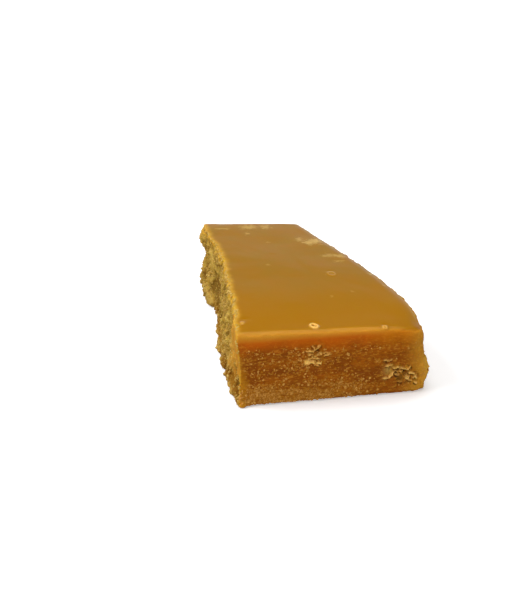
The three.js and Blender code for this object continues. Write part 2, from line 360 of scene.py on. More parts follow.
# Thin crusts left standing in the torn patches, each leaning out over a gap: points (x, z) from left to
# right, width and how far it stands out, in mm, and how dry and pale it is.
frontLips = [
    ([(-10.8, 14.8), (-9.0, 14.6), (-7.4, 14.4), (-5.4, 14.1)], 1.36, 1.0, 1.0),
    ([(-9.4, 15.6), (-8.3, 15.8)], 0.48, 0.6, 1.0),
    ([(-7.9, 15.5), (-7.1, 15.7), (-5.9, 15.4)], 0.48, 0.6, 1.0),
    ([(-7.5, 13.5), (-6.3, 13.3)], 0.61, 0.8, 0.8),
    ([(-10.4, 18.5), (-9.2, 18.5), (-8.0, 18.1)], 0.51, 0.7, 0.9),
    ([(-8.2, 16.1), (-6.9, 16.8), (-5.4, 17.4)], 0.54, 0.8, 0.8),
    ([(-9.5, 17.2), (-8.3, 17.0)], 0.54, 0.5, 0.8),
    ([(-8.2, 20.3), (-7.9, 19.4), (-7.4, 18.6)], 0.5, 0.6, 0.9),
    ([(-7.1, 18.6), (-6.6, 19.4), (-6.1, 20.4)], 0.42, 0.5, 0.7),
    ([(-4.8, 17.4), (-4.0, 17.7), (-3.1, 17.5)], 0.41, 0.45, 0.5),
    ([(-4.4, 16.6), (-3.6, 16.7), (-2.6, 17.4)], 0.54, 0.6, 0.7),
    ([(-12.9, 15.4), (-11.8, 15.3)], 0.82, 0.4, 0.6),
    ([(-11.4, 13.6), (-10.7, 13.5)], 0.61, 0.4, 0.6),
    ([(-14.0, 20.0), (-13.6, 19.7)], 0.68, 0.4, 0.8),
    ([(16.2, 13.1), (17.2, 12.9), (18.7, 13.1)], 0.5, 0.6, 0.6),
    ([(16.9, 10.8), (17.6, 10.9), (18.5, 11.3), (19.2, 10.6)], 0.5, 0.7, 0.9),
    ([(16.4, 6.3), (17.9, 6.5), (19.1, 7.2), (19.6, 8.3)], 0.65, 0.9, 0.9),
    ([(19.8, 9.7), (21.2, 9.8), (23.2, 9.5), (24.6, 8.9)], 0.7, 0.9, 0.9),
    ([(20.0, 8.4), (20.8, 8.5), (21.4, 8.3)], 0.4, 0.4, 0.5),
    ([(20.6, 7.1), (22.0, 7.1)], 0.45, 0.6, 0.7),
    ([(22.0, 8.4), (22.9, 8.5)], 0.5, 0.7, 0.8),
    ([(24.4, 9.2), (25.0, 9.1), (25.4, 9.8)], 0.5, 0.7, 0.9),
    ([(25.2, 7.7), (26.2, 7.7), (26.8, 7.1)], 0.7, 1.0, 1.0),
    ([(24.0, 6.0), (24.8, 6.3), (25.4, 5.8)], 1.0, 1.1, 1.0),
    ([(26.7, 5.6), (27.5, 6.4), (28.1, 5.6)], 0.75, 1.0, 1.0),
    ([(25.4, 4.9), (26.3, 4.8)], 0.5, 0.7, 0.7),
    ([(27.4, 3.9), (28.3, 3.7)], 0.55, 0.6, 0.8),
    ([(21.6, 4.6), (23.0, 4.4)], 0.4, 0.35, 0.3),
]

# Smooth hollows in the same patches: x and z, reach and depth in mm, and how dark their painted shade is
# or how pale they are.
scoops = [
    {"at": (17.9, 9.0), "reach": 1.7, "depth": 0.5, "pale": 0.5},
    {"at": (21.0, 8.6), "reach": 0.5, "depth": 0.7, "dark": 1.0},
    {"at": (19.8, 8.0), "reach": 0.4, "depth": 0.5, "dark": 0.9},
    {"at": (20.6, 7.7), "reach": 0.5, "depth": 0.5, "dark": 0.8},
    {"at": (26.5, 6.7), "reach": 0.35, "depth": 0.6, "dark": 1.0},
    {"at": (27.3, 5.1), "reach": 0.45, "depth": 0.6, "dark": 1.0},
    {"at": (25.8, 5.6), "reach": 0.35, "depth": 0.6, "dark": 0.9},
    {"at": (17.2, 12.1), "reach": 0.7, "depth": 0.5, "dark": 0.9},
    {"at": (-6.6, 18.1), "reach": 0.8, "depth": 0.6, "dark": 0.9},
]

marginWidths = {  # pale and golden margins, in mm; a pair of lists gives places and the values there
    "top": ([-60, 45], [1.6, 2.6]), "topShare": 0.45,  # the top's pale one along the break, by y
    # the front's golden margin along the break is a painted glow
    "corner": ([3, 20], [4.2, 0.5]),  # the front's golden one along the break, by height
    "cornerShare": ([8, 15], [1.0, 0.3]),
    # a painted highlight along the front's top edge: how far below the top, and its strength by x
    "ridgeHighlight": (3.8, 0.8), "ridgeHighlightShare": ([14, 24], [1.0, 0.1]),  # below the top, and its strength by x
    "reach": 9.0,  # no margin along the break goes further
}

edgeLean = {  # the break's top edge stands out over the face below it: how far in mm, at each y
    "y": [-64.0, -58.0, -46.0, -31.0, -15.0, 3.0, 16.0, 27.0, 38.0],
    "out": [1.3, 1.1, 0.7, 0.9, 1.2, 1.4, 1.0, 0.4, 0.0],
    "from": 13.0, "to": 24.5, "reach": 9.0,  # it grows between these heights, and fades over the top
}

topRise = {"rise": 0.45, "backLeft": 0.5}  # mm, the top climbs to the back, most at its left corner

cornerTip = {"at": (-31.4, -63.4), "reach": (1.6, 1.6), "out": 1.6}  # a burr at the front left foot

maskNames = [  # kept with the mesh, for the material and the sugar grains
    "poured", "broken", "rim", "margin", "corner", "ridgeHighlight", "torn", "dry", "sandy", "skin", "hollow",
    "crestHighlight", "bright", "foot", "bubble", "dusty", "front", "edge", "wrap", "right", "sideRimHighlight",
]


def breakOut(near):
    r = breakRelief
    gaps = smoothStep(r["pitsFrom"], r["pitsFrom"] + 0.3, lumps(near, r["pitSize"], 2, 17.3))
    crumbShare = np.interp(near[:, 1], *r["crumbShare"])
    smallShare = np.interp(near[:, 1], *r["smallCrumbShare"])
    return (
        r["clumpHeight"] * lumps(near, r["clumpSize"], 2, 3.1)
        + r["crumbHeight"] * crumbShare * crumbs(near, r["crumbSize"], 5.7)
        + r["smallCrumbHeight"] * smallShare * crumbs(near, r["smallCrumbSize"], 8.3)
        + r["grainHeight"] * grains(near, r["grainSize"], 9.2)
        - r["pitDepth"] * gaps
        + r["footOut"] * hill(near[:, 2], r["footReach"])
        - r["sunk"]
    )


def mouldOut(near, grainy, notFront):
    m = mouldRelief
    holes = smoothStep(0.66, 0.85, 0.5 + grains(near, m["holeSize"], 12.9))
    uneven = m["lumpHeight"] * lumps(near, m["lumpSize"], 2, 8.8)
    rough = m["sideLumpHeight"] * lumps(near, m["sideLumpSize"], 2, 1.9)
    rough += m["sideCrumbHeight"] * crumbs(near, m["sideCrumbSize"], 7.3)
    uneven += notFront * rough
    return uneven + grainy * (
        m["grainHeight"] * grains(near, m["grainSize"], 4.4)
        + m["strataHeight"] * lumps(near, m["strataSize"], 2, 6.1)
        - m["holeDepth"] * holes
    )


# Crumbs and hollows on the break. Gives back how far its edges are nibbled away.
def roughenBreak(points, edges, kinds, belowTop, relief, masks):
    zones = breakZones
    broken = spread(kinds["broken"], edges, 1)
    rim = 6 * spread(kinds["broken"], edges, 5) * spread(kinds["poured"] + kinds["front"], edges, 5)
    rim = np.clip(rim, 0, 1)
    at = np.flatnonzero((broken > 0.01) | (rim > 0.05))
    near = points[at]
    _, back, height = near.T
    out = breakOut(near)
    uneven = lumps(near, 3.0, 2, 44.0)
    blotchy = 3.5 * lumps(near, 5.0, 3, 91.0)
    nearTop = smoothStep(*zones["pale"], belowTop[at] + 1.5 * uneven)
    fromFront = back - points[:, 1].min() + 2.0 * uneven
    golden = smoothStep(*zones["golden"], fromFront + blotchy)
    golden *= smoothStep(*zones["goldenHeight"], height - blotchy)
    wrapped = smoothStep(*zones["wrapped"], fromFront) * smoothStep(*zones["wrappedHeight"], height)
    calm = golden * smoothStep(*zones["calmHeight"], height)

    hollowShadeShare, light = np.zeros(len(at)), np.zeros(len(at))
    for spec in breakHollows:
        share = hillAround(near, (1, 2), spec["at"], spec["reach"])
        wavering = 0.5 if "dark" in spec else 0.2
        share = smoothStep(0.25, 0.85, share + wavering * uneven * (share > 0.1))
        out -= spec["depth"] * share
        hollowShadeShare = np.maximum(hollowShadeShare, spec.get("dark", 0) * share)
        light = np.maximum(light, spec.get("pale", 0) * share)

    rim[at] *= 1 - 0.3 * wrapped
    strength = broken[at] * (1 - 0.6 * rim[at]) * (1 - 0.5 * golden - 0.4 * calm) * (1 - 0.7 * wrapped)
    relief[at] = strength * out
    # painted shade: darker where the break's relief lies low and in the listed hollows
    hollow = broken[at] * (1 - wrapped) * np.clip(smoothStep(0.1, -1.1, out) + 0.75 * hollowShadeShare, 0, 1)
    hollow *= (1 - 0.8 * nearTop) * (1 - light) * (1 - 0.8 * calm)
    masks["hollow"][at] = hollow
    # painted highlight on the crumbs that stand out, and on the listed pale spots
    masks["crestHighlight"][at] = broken[at] * np.maximum(light, smoothStep(0.15, 0.9, out) * (1 - 0.5 * hollowShadeShare))
    masks["bright"][at] = broken[at] * nearTop * (1 - hollowShadeShare)
    # painted glow on the break near the front corner
    masks["edge"][at] = broken[at] * golden
    masks["wrap"][at] = broken[at] * wrapped
    foot = smoothStep(1.0, 0.25, (height + 3 * uneven) / np.interp(back, *zones["footTop"]))
    masks["foot"][at] = broken[at] * foot * np.interp(back, *zones["footShare"])
    masks["broken"], masks["rim"] = broken, rim

    nibble = np.zeros(len(points))
    bites = np.clip(lumps(near, breakRelief["nibbleSize"], 2, 7.7) + 0.1, 0, 1)
    nibble[at] = breakRelief["nibbleDepth"] * rim[at] * bites
    return nibble


# Grain and layers on the sides that took the mould, below their smooth skin.
def roughenMouldedSides(points, kinds, belowTop, relief, masks):
    m = mouldRelief
    moulded, front = kinds["moulded"], kinds["front"]
    x, y, _ = points.T
    # the front right corner: rougher relief, and a painted glow in its colour
    rightCorner = smoothStep(m["rightCornerFrom"], m["rightCornerTo"], x + 1.5 * lumps(points, 6.0, 1, 4.9))
    rightCorner *= hill(y - y.min(), m["rightCornerReach"])
    at = np.flatnonzero(moulded > 0.01)
    near = points[at]
    depth = belowTop[at] + 1.2 * lumps(near, 6.0, 2, 2.2)
    grainy = smoothStep(m["skinStart"], m["skinEnd"], depth)
    notFront = np.maximum(smoothStep(0.9, 0.3, front[at]), rightCorner[at])
    relief[at] += moulded[at] * mouldOut(near, grainy, notFront)
    masks["skin"][at] = moulded[at] * (1 - grainy)
    # paler on the hidden sides, and a painted glow on the front right corner
    masks["right"] = moulded * np.maximum(0.3 * smoothStep(0.8, 0.3, front), rightCorner)


# How far each point is above a path in the front's plane, and how far it is beyond the path's ends.
def offPath(x, z, path):
    best = np.full(len(x), 1e9)
    above, beyond = np.zeros(len(x)), np.zeros(len(x))
    for (x0, z0), (x1, z1) in zip(path, path[1:]):
        length = math.hypot(x1 - x0, z1 - z0)
        goX, goZ = (x1 - x0) / length, (z1 - z0) / length
        along = (x - x0) * goX + (z - z0) * goZ
        up = (z - z0) * goX - (x - x0) * goZ
        past = np.maximum(np.maximum(-along, along - length), 0)
        nearer = np.hypot(up, past) < best
        best = np.where(nearer, np.hypot(up, past), best)
        above, beyond = np.where(nearer, up, above), np.where(nearer, past, beyond)
    return above, beyond


def addLips(points, front, relief, masks):
    dry, hollow = masks["dry"], masks["hollow"]
    x, _, z = points.T
    around = 3.0  # mm, nothing of a lip reaches further from its path
    for number, (path, width, out, paleness) in enumerate(frontLips):
        xs, zs = np.array(path).T
        inX = (x > xs.min() - around) & (x < xs.max() + around)
        inZ = (z > zs.min() - around) & (z < zs.max() + around)
        at = np.flatnonzero((front > 0.2) & inX & inZ)
        near = points[at]
        ragged = lumps(near, (1.1, 9.0, 1.1), 3, 40.0 + number)
        chipped = smoothStep(-0.55, -0.2, lumps(near, (0.7, 9.0, 0.7), 2, 80.0 + number))
        above, beyond = offPath(x[at], z[at], path)
        above += 0.42 * ragged
        half = width / 2 * (1 + 0.8 * lumps(near, (0.9, 9.0, 9.0), 1, 60.0 + number))
        ends = smoothStep(0.4, 0.0, beyond + 0.2 * ragged)
        standing = smoothStep(-half - 0.1, -half + 0.05, above) * ends * chipped
        onLip = smoothStep(half + 0.2, 0.0, above) * standing
        patch = min(tornFront, key=lambda spec: abs(spec["at"][0] - xs.mean()))
        gap = patch["gaps"] * hill(above + half + 0.4, 0.3) * ends
        relief[at] += out * (smoothStep(half + 0.2, -0.5 * half, above) * standing - 0.55 * gap)
        dry[at] = np.maximum(dry[at], paleness * onLip)
        # painted shade in the gap under each crust
        hollow[at] = np.maximum(hollow[at] * (1 - onLip), gap * (1 - onLip))


# Rough patches with crusts and small hollows where flakes came away.
def tearFront(points, front, relief, masks):
    for patch in tornFront:
        inside = patchShare(points, patch)
        at = np.flatnonzero(inside > 0.1)
        near = points[at]
        share = smoothStep(0.42, 0.75, inside[at] + 0.3 * lumps(near, 1.7, 2, 21.0)) * front[at]
        rugged = crumbs(near, 1.2, 14.5) + 0.4 * lumps(near, 0.9, 1, 3.0)
        relief[at] += share * patch["rough"] * (rugged * 1.6 - 0.6)
        torn = share * patch["rough"] * 2
        masks["torn"][at] = np.maximum(masks["torn"][at], torn)
        # painted shade in the low places of the torn patch
        masks["hollow"][at] = np.maximum(masks["hollow"][at], torn * np.clip(0.3 - rugged, 0, 1))
    addLips(points, front, relief, masks)
    for scoop in scoops:
        x, z = scoop["at"]
        share = front * hill(np.hypot(points[:, 0] - x, points[:, 2] - z), scoop["reach"])
        relief -= scoop["depth"] * share
        masks["sandy"] = np.maximum(masks["sandy"], scoop.get("pale", 0) * share)
        # painted shade in the darker scoops
        masks["hollow"] = np.maximum(masks["hollow"], scoop.get("dark", 0) * share * (1 - masks["dry"]))


# Slow waves in the poured top, and a raised ring around each burst bubble.
def wavePouredTop(points, poured, relief, masks):
    at = np.flatnonzero(poured > 0.01)
    waves = lumps(points[at], pouredRelief["waveSize"], 2, 11.1)
    relief[at] += poured[at] * pouredRelief["waveHeight"] * waves
    for pit in topPits:
        x, y = pit["at"]
        away = np.hypot(points[:, 0] - x, 0.65 * (points[:, 1] - y)) + 99 * (poured < 0.3)
        ring = hill(away - pit["width"] / 2, pouredRelief["pitRimReach"])
        relief += pit["rim"] * ring
        film = pouredRelief["pitFilm"] * smoothStep(pit["width"] / 2, 0.2, away)
        masks["bubble"] = np.maximum(masks["bubble"], pit["pale"] * np.maximum(ring, film))


# Pale margins along the break, dry sugar on the top, and the worn edges around the top.
def markEdges(points, edges, kinds, belowTop, fromBreak, masks):
    margins = marginWidths
    poured, front = kinds["poured"], kinds["front"]
    x, y, z = points.T
    wander = np.zeros(len(points))
    at = np.flatnonzero(fromBreak < margins["reach"])
    wander[at] = lumps(points[at], 2.6, 2, 3.3)
    width = np.interp(y, *margins["top"])
    inMargin = smoothStep(1.1, 0.0, (fromBreak + 0.8 * wander) / width)
    masks["margin"] = margins["topShare"] * poured * inMargin
    # painted glow along the front's corner with the break
    width = np.interp(z, *margins["corner"])
    corner = front * smoothStep(1.1, 0.0, (fromBreak + 0.5 * wander) / width)
    masks["corner"] = corner * np.interp(z, *margins["cornerShare"])

    for spot, reach, pale in dustyPatches:
        inside = hillAround(points, (0, 1), spot, reach)
        at = np.flatnonzero((inside > 0.05) & (z > blockMesh["topFrom"]))
        share = smoothStep(0.25, 0.85, inside[at] + 0.7 * lumps(points[at], (1.6, 1.0, 1.0), 3, 5.5))
        masks["dusty"][at] = np.maximum(masks["dusty"][at], pale * share)

    topWide = spread(poured, edges, 9)
    frontWide = spread(front, edges, 9)
    # painted highlight where the front meets the top, and in a band just below the top
    ridgeHighlight = np.clip(4.8 * frontWide * topWide, 0, 1)
    ridgeHighlight = np.maximum(ridgeHighlight, front * smoothStep(*margins["ridgeHighlight"], belowTop))
    masks["ridgeHighlight"] = ridgeHighlight * np.interp(x, *margins["ridgeHighlightShare"])
    # painted rim highlight along the top's edges against the right and back sides, patchy
    sideRimHighlight = np.clip(4.8 * spread(kinds["moulded"], edges, 9) * topWide, 0, 1) * (1 - frontWide)
    masks["sideRimHighlight"] = sideRimHighlight * ((1 + lumps(points, 4.0, 2, 15.2)) * smoothStep(-60, -50, y))


# Leans the break's top edge out, lifts the top to the back, nibbles the edges and draws the burr out.
def shapeEdges(points, moved, fromBreak, nibbled):
    x, y, z = points.T
    lean = np.interp(y, edgeLean["y"], edgeLean["out"])
    inReach = smoothStep(edgeLean["reach"], 1.0, fromBreak)
    moved[:, 0] -= lean * (smoothStep(edgeLean["from"], edgeLean["to"], z) * inReach)
    climb = topRise["rise"] * smoothStep(-60, -30, y)
    climb += topRise["backLeft"] * smoothStep(15, 60, y) * smoothStep(10, -32, x)
    moved[:, 2] += climb * z / z.max()
    moved -= nibbled
    burr = hillAround(points, (0, 1), cornerTip["at"], cornerTip["reach"])
    moved[:, 1] -= cornerTip["out"] * burr * smoothStep(2.4, 0.4, z)


def addRelief(piece, breakEdge):
    points, normals, edges = meshArrays(piece.data)
    kinds = surfaceKinds(points, normals, edges, breakEdge)
    soft = unit(spread(normals, edges, 5))
    belowTop = points[:, 2].max() - points[:, 2]
    fromBreak = points[:, 0] - breakEdge(points[:, 1])
    poured, front = kinds["poured"], kinds["front"]
    relief = np.zeros(len(points))
    masks = {name: np.zeros(len(points)) for name in maskNames}
    masks["poured"], masks["front"] = poured, front
    kinds["moulded"] = spread(kinds["moulded"], edges, 1)

    # each of these adds to the relief and fills its own masks
    nibble = roughenBreak(points, edges, kinds, belowTop, relief, masks)
    roughenMouldedSides(points, kinds, belowTop, relief, masks)
    tearFront(points, front, relief, masks)
    wavePouredTop(points, poured, relief, masks)
    markEdges(points, edges, kinds, belowTop, fromBreak, masks)

    moved = points + soft * relief[:, None]
    shapeEdges(points, moved, fromBreak, soft * np.array([1, 1, 0.6]) * nibble[:, None])
    moved[:, 2] = np.maximum(moved[:, 2], 0)
    moved[kinds["under"] > 0.9, 2] = 0
    setPoints(piece.data, moved)

    masks = {name: np.clip(masks[name], 0, 1) for name in maskNames}
    for name, values in masks.items():
        layer = piece.data.attributes.new(name, "FLOAT", "POINT")
        layer.data.foreach_set("value", values.astype(np.float32))
    piece.data.polygons.foreach_set("use_smooth", [True] * len(piece.data.polygons))
    return masks


masks = addRelief(block, breakEdge)
print("relief on", len(block.data.vertices), "points")


def linearColour(hexCode):
    channels = [int(hexCode[i:i + 2], 16) / 255 for i in (1, 3, 5)]
    linear = [c / 12.92 if c <= 0.04045 else ((c + 0.055) / 1.055) ** 2.4 for c in channels]
    return (*linear, 1.0)


# Adds a node. Inputs given as sockets are linked, others are set; settings are the node's properties.
def addNode(tree, kind, inputs=None, **settings):
    node = tree.nodes.new(kind)
    for name, value in settings.items():
        setattr(node, name, value)
    for name, value in (inputs or {}).items():
        if isinstance(value, bpy.types.NodeSocket):
            tree.links.new(value, node.inputs[name])
        else:
            node.inputs[name].default_value = value
    return node


def newTree(name):
    material = bpy.data.materials.new(name)
    material.use_nodes = True
    material.node_tree.nodes.clear()
    return material, material.node_tree


def perMetre(sizeMm):  # a noise scale for features of this size
    return 1 / (sizeMm * mmToM)


# Unrefined cane sugar, boiled down, poured and set: dense and slightly translucent. It is satin where it
# cooled in the open, darker and grainy where it took the mould, and dry and sandy where it broke.
jaggeryLook = {
    "ior": 1.5, "specular": 0.11, "roughTop": 0.28, "roughSide": 0.55, "roughBreak": 0.8,
    "glowWeight": 0.2, "glowScale": 0.001, "glowRadius": (1.0, 0.42, 0.12),
    "top": "#9A6C08", "topDull": "#986D0C", "topWarm": "#A06A06", "topNear": "#A66E00",
    "skin": "#D06602", "skinRight": "#D07A02",
    "side": "#AC6008", "sideDark": "#8E4A06", "sidePale": "#CC8C2C", "sideLow": "#AC6A12",
    "right": "#E0A432", "rightRimHighlight": "#F2C04A",  # the front right corner, paler than the front: a painted glow, and a painted rim highlight at its edge
    # painted highlights on the next line: along the front's top edge, and along the top's edges against
    # the other sides
    "ridgeHighlight": "#D09024", "sideRimHighlight": "#C89C14",
    "corner": "#C48414", "margin": "#DCA834", "edge": "#D69832", "wrap": "#C47008", "dry": "#D0AC5C",
    # painted glows on the next line: the first along the front's corner, the third on the break near the
    # front
    "break": "#AE8A2E", "breakShade": "#6A4606", "breakPale": "#D8B860", "breakFoot": "#966414",
    # the second colour on the next line is painted shade for the break's hollows
    "torn": "#BC7C1C", "tornGapShade": "#3E1E00", "crust": "#FFCA6A",
    # the second colour on the next line is painted shade in the torn patches' gaps
    # sizes of the patterns in mm; those of the sides are stretched flat
    "cloudSize": 11.0, "fleckSize": 2.6, "breakGrainSize": 0.9, "bumpGrainSize": 0.45, "grainBump": 0.4,
    "sideCloudSize": 7.0, "sideGrainSize": 0.85, "sideFleckSize": 1.6, "sideStretch": (0.7, 0.7, 1.6),
    # the noise values between which a pattern shows, and its least and most share
    "clouds": (0.35, 0.65), "topFlecks": (0.7, 0.78, 0.0, 0.3), "sideFlecks": (0.53, 0.62),
    "sideGrainPale": (0.52, 0.66, 0.0, 0.75), "sideGrainDark": (0.47, 0.32, 0.0, 0.8),
    "cornerGrain": (0.4, 0.62, 0.95, 0.65), "breakGrain": (0.36, 0.64, 0.0, 0.5),
    "rimOnTop": 0.35, "bumpOnTop": 0.04, "bumpOnBreak": 1.8,  # shares, where the sides have 1
    # where a colour comes in, from one place to another in mm: by y, by height, and by x for the others
    "topNearFrom": (0.0, -62.0), "sideLowFrom": (9.5, 2.0), "sideLowLeft": (20.0, -15.0),
    "skinRightFrom": (4.0, 20.0), "rightRimHighlightFrom": (30.0, 34.5),
}

# Colours laid over one another: where (the mask), how strongly, and which.
topLayers = [("margin", 1.0, "margin"), ("dusty", 1.0, "dry"), ("bubble", 1.0, "crust")]
# painted highlights along the top's edges
edgeHighlightLayers = [("ridgeHighlight", 0.6, "ridgeHighlight"), ("sideRimHighlight", 0.45, "sideRimHighlight")]
tornLayers = [
    ("torn", 1.0, "torn"), ("sandy", 1.0, "breakPale"),
    # the first layer on the next line is painted shade in the gaps
    ("hollow", 1.0, "tornGapShade"), ("dry", 1.0, "crust"),
]
breakLayers = [
    # the second layer on the next line is a painted highlight on the crests
    ("foot", 1.0, "breakFoot"), ("crestHighlight", 0.6, "breakPale"), ("bright", 1.0, "margin"),
    # on the next line: a painted glow near the front, and painted shade in the hollows
    ("edge", 0.85, "edge"), ("wrap", 0.35, "wrap"), ("hollow", 0.78, "breakShade"),
]


def jaggeryMaterial():
    look = jaggeryLook
    material, tree = newTree("pouredCaneJaggery")
    place = addNode(tree, "ShaderNodeTexCoord").outputs["Object"]
    stretch = {"Vector": place, "Scale": look["sideStretch"]}
    flatwise = addNode(tree, "ShaderNodeMapping", stretch).outputs[0]

    def mask(name):
        return addNode(tree, "ShaderNodeAttribute", attribute_name=name).outputs["Fac"]

    def mixed(amount, a, b):
        ends = [linearColour(look[c]) if isinstance(c, str) else c for c in (a, b)]
        inputs = {"Factor": amount, 6: ends[0], 7: ends[1]}
        return addNode(tree, "ShaderNodeMix", inputs, data_type="RGBA").outputs[2]

    def mixedValue(amount, a, b):
        return addNode(tree, "ShaderNodeMix", {"Factor": amount, 2: a, 3: b}).outputs[0]

    def noiseOf(sizeMm, detail=3.0, where=place):
        inputs = {"Vector": where, "Scale": perMetre(sizeMm), "Detail": detail, "Roughness": 0.58}
        return addNode(tree, "ShaderNodeTexNoise", inputs).outputs["Fac"]

    def between(value, low, high, least=0.0, most=1.0):
        inputs = {"Value": value, "From Min": low, "From Max": high, "To Min": least, "To Max": most}
        return addNode(tree, "ShaderNodeMapRange", inputs, interpolation_type="SMOOTHSTEP").outputs[0]

    def times(a, b):
        return addNode(tree, "ShaderNodeMath", {0: a, 1: b}, operation="MULTIPLY").outputs[0]

    # grows along an axis, between two places
    def along(axis, places, least=0.0, most=1.0):
        start, end = look[places]
        return between(axis, start * mmToM, end * mmToM, least, most)

    def layered(base, layers):
        for name, strength, colour in layers:
            base = mixed(times(mask(name), strength), base, colour)
        return base

    axes = addNode(tree, "ShaderNodeSeparateXYZ", {0: place}).outputs
    toRight, toBack, height = axes["X"], axes["Y"], axes["Z"]

    # poured top: even golden brown, slow clouds, a few pale flecks of dry sugar
    top = mixed(between(noiseOf(look["cloudSize"], 2.0), *look["clouds"]), "topDull", "topWarm")
    top = mixed(0.5, top, "top")
    top = mixed(along(toBack, "topNearFrom"), top, "topNear")
    top = mixed(between(noiseOf(look["fleckSize"]), *look["topFlecks"]), top, "dry")
    top = layered(top, topLayers)

    # moulded sides: a smooth orange skin near the top, darker sugary grain below, paler at the foot
    sideGrain = noiseOf(look["sideGrainSize"], 3.0, flatwise)
    sideCloud = noiseOf(look["sideCloudSize"], 3.0, flatwise)
    side = mixed(between(sideCloud, *look["clouds"]), "sideDark", "side")
    low = times(along(height, "sideLowFrom"), along(toRight, "sideLowLeft", 0.1, 0.9))
    side = mixed(low, side, "sideLow")
    side = mixed(between(sideGrain, *look["sideGrainPale"]), side, "sidePale")
    side = mixed(between(sideGrain, *look["sideGrainDark"]), side, "sideDark")
    flecks = between(noiseOf(look["sideFleckSize"], 2.0, flatwise), *look["sideFlecks"])
    side = mixed(times(low, flecks), side, "sidePale")
    skin = mixed(along(toRight, "skinRightFrom"), "skin", "skinRight")
    side = mixed(mask("skin"), side, skin)
    # the front right corner: a painted glow, and a painted rim highlight towards its edge
    rightCorner = mixed(along(toRight, "rightRimHighlightFrom"), "right", "rightRimHighlight")
    side = mixed(times(mask("right"), 0.85), side, rightCorner)
    # painted glow along the front's corner with the break, broken up by grain
    side = mixed(times(mask("corner"), between(sideGrain, *look["cornerGrain"])), side, "corner")
    side = layered(side, tornLayers)
    # painted highlight along the front's top edge
    side = mixed(times(mask("ridgeHighlight"), mask("front")), side, "ridgeHighlight")

    # the break: crumbs of pale dry sugar in a darker mass, painted shade in its hollows, painted
    # highlights on its crests and a painted glow near the front
    breakGrain = between(noiseOf(look["breakGrainSize"], 4.0), *look["breakGrain"])
    broken = layered(mixed(breakGrain, "break", "breakPale"), breakLayers)

    base = layered(mixed(mask("poured"), side, top), edgeHighlightLayers)
    base = mixed(mask("broken"), base, broken)
    rimShare = between(mask("poured"), 0.0, 1.0, 1.0, look["rimOnTop"])
    base = mixed(times(mask("rim"), rimShare), base, "margin")

    rough = mixedValue(mask("poured"), look["roughSide"], look["roughTop"])
    rough = mixedValue(mask("broken"), rough, look["roughBreak"])

    bumpShare = times(
        between(mask("poured"), 0.0, 1.0, 1.0, look["bumpOnTop"]),
        between(mask("broken"), 0.0, 1.0, 1.0, look["bumpOnBreak"]),
    )
    grainHeight = times(noiseOf(look["bumpGrainSize"], 2.0), bumpShare)
    bump = addNode(tree, "ShaderNodeBump", {
        "Height": grainHeight, "Distance": look["grainBump"] * mmToM, "Strength": 0.6,
    })

    shader = addNode(tree, "ShaderNodeBsdfPrincipled", {
        "Base Color": base, "Roughness": rough, "Normal": bump.outputs[0],
        "IOR": look["ior"], "Specular IOR Level": look["specular"],
        "Subsurface Weight": look["glowWeight"], "Subsurface Scale": look["glowScale"],
        "Subsurface Radius": look["glowRadius"],
    })
    addNode(tree, "ShaderNodeOutputMaterial", {"Surface": shader.outputs[0]})
    return material


jaggery = jaggeryMaterial()
block.data.materials.append(jaggery)
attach(block, "root")
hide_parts(blockNode)
print("jaggery material on the block")


breakSugarLook = {"dark": "#AE862E", "pale": "#D8B660", "roughness": 0.5, "ior": 1.55, "specular": 0.15}
sideSugarLook = {"dark": "#B06E10", "pale": "#E2AC56", "roughness": 0.5, "ior": 1.55, "specular": 0.1}

# Size in mm. A falloff over 1 makes pale crystals rarer than dark ones, under 1 more common.
breakGrains = {"count": 4500, "least": 0.2, "most": 0.7, "falloff": 1.6, "seed": 7}
rimGrains = {"count": 700, "least": 0.2, "most": 0.65, "falloff": 0.6, "seed": 11}
sideGrains = {"count": 5000, "least": 0.2, "most": 0.7, "falloff": 2.0, "seed": 23}
sideGrainSpread = {"anywhere": 0.07, "toLeft": 0.2, "atFoot": 4.0}  # how thickly they lie

crystalShape = {
    "slimmest": (0.75, 0.7, 0.6), "widest": (1.25, 1.1, 1.0), "skew": 0.16,  # shares of the size
    "sunk": 0.08,  # how far the middle lies below the surface, as a share of the size
    "smallerMore": 2.2,  # over 1 makes small crystals more common than big ones
}


# The points of a piece, and its triangles as their numbers.
def surfaceOf(piece):
    mesh = piece.data
    mesh.calc_loop_triangles()
    triangles = np.empty(len(mesh.loop_triangles) * 3, np.int32)
    mesh.loop_triangles.foreach_get("vertices", triangles)
    points, _, _ = meshArrays(mesh)
    return points, triangles.reshape(-1, 3)


# Random spots over a surface, thicker where density is higher.
def pickSpots(surface, density, count, rng):
    points, triangles = surface
    corners = points[triangles]
    edgeA = corners[:, 1] - corners[:, 0]
    edgeB = corners[:, 2] - corners[:, 0]
    across = np.cross(edgeA, edgeB)
    area = np.linalg.norm(across, axis=1)
    onUnderside = across[:, 2] <= -0.95 * area
    chance = area * density[triangles].mean(axis=1) * ~onUnderside
    chosen = rng.choice(len(chance), size=count, p=chance / chance.sum())
    a, b = rng.random((2, count))
    folded = a + b > 1
    a[folded], b[folded] = 1 - a[folded], 1 - b[folded]
    spots = corners[chosen, 0] + a[:, None] * edgeA[chosen] + b[:, None] * edgeB[chosen]
    return spots, unit(across[chosen])


def randomTurns(count, rng):
    w, x, y, z = unit(rng.normal(size=(count, 4))).T
    return np.array([
        [1 - 2 * (y * y + z * z), 2 * (x * y - z * w), 2 * (x * z + y * w)],
        [2 * (x * y + z * w), 1 - 2 * (x * x + z * z), 2 * (y * z - x * w)],
        [2 * (x * z - y * w), 2 * (y * z + x * w), 1 - 2 * (x * x + y * y)],
    ]).transpose(2, 0, 1)


